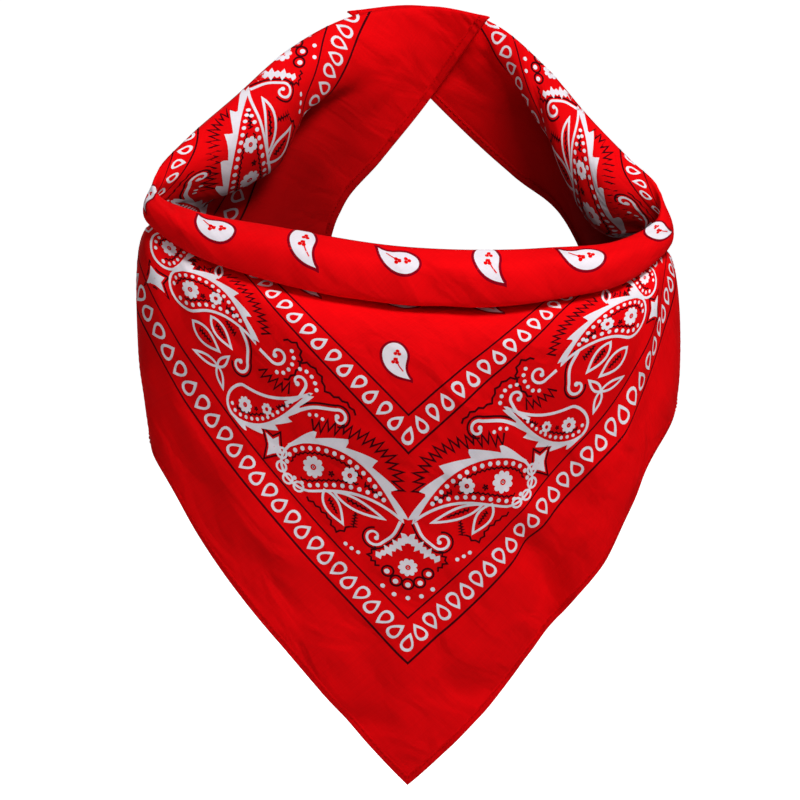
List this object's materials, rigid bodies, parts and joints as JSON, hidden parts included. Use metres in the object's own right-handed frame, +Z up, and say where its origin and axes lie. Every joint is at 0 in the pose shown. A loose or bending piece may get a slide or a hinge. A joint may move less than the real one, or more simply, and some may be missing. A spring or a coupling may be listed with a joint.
{
  "type": "bandana neck scarf, worn",
  "caption": "Square printed cotton bandana folded to a triangle and worn round the neck, its point hanging in front and its ends lapped at the nape.",
  "frame": {"origin": "at the nape, between the two lapped ends, level with the fold of the cloth, where the wearer's neck holds the bandana up", "axes": "+Z up, the point of the cloth hanging toward -Z; the front of the bandana faces -Y; +X is on the right for someone who looks at the front"},
  "size_m": [0.2887, 0.1826, 0.4055],
  "materials": {
    "printed_cotton": "plain-weave cotton, printed, matte with a faint nap",
    "hem_cotton": "the same cotton, turned and stitched"
  },
  "bodies": {
    "root": {"front_outer_layer": "printed_cotton", "front_inner_layer": "printed_cotton", "front_fold": "printed_cotton", "left_limb_outer_layer": "printed_cotton", "left_limb_inner_layer": "printed_cotton", "left_limb_fold": "printed_cotton", "right_limb_outer_layer": "printed_cotton", "right_limb_inner_layer": "printed_cotton", "right_limb_fold": "printed_cotton", "left_outer_hem": "hem_cotton", "left_inner_hem": "hem_cotton", "right_outer_hem": "hem_cotton", "right_inner_hem": "hem_cotton"}
  },
  "joints": []
}
